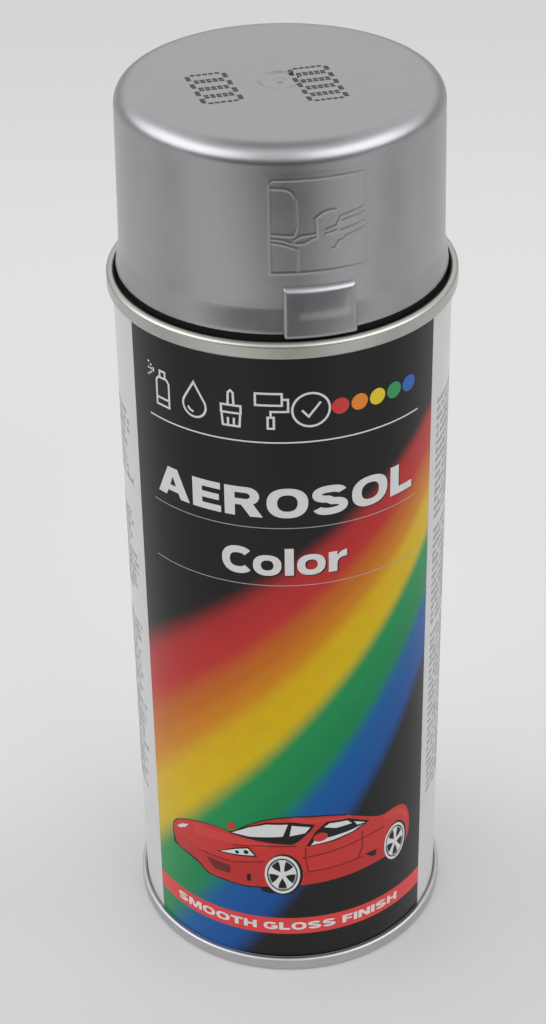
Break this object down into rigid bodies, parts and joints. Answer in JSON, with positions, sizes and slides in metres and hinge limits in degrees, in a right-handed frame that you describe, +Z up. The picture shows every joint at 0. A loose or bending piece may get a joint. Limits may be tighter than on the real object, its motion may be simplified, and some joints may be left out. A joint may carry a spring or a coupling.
{
  "type": "aerosol spray can",
  "caption": "Tinplate aerosol paint can with double seams, a sprung one-inch valve, a push button, a dip tube, loose mixing balls and a prise-off overcap with a lifting tab.",
  "frame": {"origin": "centre of the base rim, on the plane that the can stands on", "axes": "+Z up along the can's axis, the printed front panel faces -Y"},
  "size_m": [0.0678, 0.0678, 0.1925],
  "materials": {
    "printed_tinplate": "gloss print, black front panel with a rainbow band, off-white sides",
    "tinplate": "bright drawn tinplate",
    "lacquered_tinplate": "clear gold lacquer on tinplate",
    "seam_compound": "cured sealing compound",
    "black_rubber": "moulded rubber",
    "natural_plastic": "unpigmented moulding",
    "white_plastic": "satin moulding",
    "insert_plastic": "satin moulding",
    "bright_steel": "polished steel",
    "silver_painted_plastic": "silver metallic lacquer over black moulding"
  },
  "bodies": {
    "can": {"can_body": "printed_tinplate", "top_cone": "tinplate", "base_dome": "tinplate", "top_seam_compound": "seam_compound", "base_seam_compound": "seam_compound", "mounting_cup": "lacquered_tinplate", "cup_gasket": "black_rubber", "valve_housing": "natural_plastic", "stem_gasket": "black_rubber", "valve_spring": "bright_steel", "dip_tube": "natural_plastic"},
    "stem": {"valve_stem": "natural_plastic"},
    "button": {"actuator_button": "white_plastic", "nozzle_insert": "insert_plastic"},
    "ball_a": {"mixing_ball_a": "bright_steel"},
    "ball_b": {"mixing_ball_b": "bright_steel"},
    "cap": {"overcap": "silver_painted_plastic"}
  },
  "joints": [
    {"name": "cap_lift", "type": "slide", "parent": "can", "child": "cap", "axis": [0, 0, 1], "range_m": [0, 0.06]},
    {"name": "stem_press", "type": "slide", "parent": "can", "child": "stem", "axis": [0, 0, -1], "range_m": [0, 0.0013], "stiffness_N_per_m": 1200, "springref_m": -0.003, "deforming": ["valve_spring"]},
    {"name": "button_turn", "type": "hinge", "parent": "stem", "child": "button", "pos_m": [0, 0, 0.173], "axis": [0, 0, 1], "continuous": true},
    {"name": "ball_a_rattle", "type": "slide", "parent": "can", "child": "ball_a", "axis": [0, 0, 1], "range_m": [0, 0.13]},
    {"name": "ball_b_rattle", "type": "slide", "parent": "can", "child": "ball_b", "axis": [0, 0, 1], "range_m": [0, 0.13]}
  ]
}
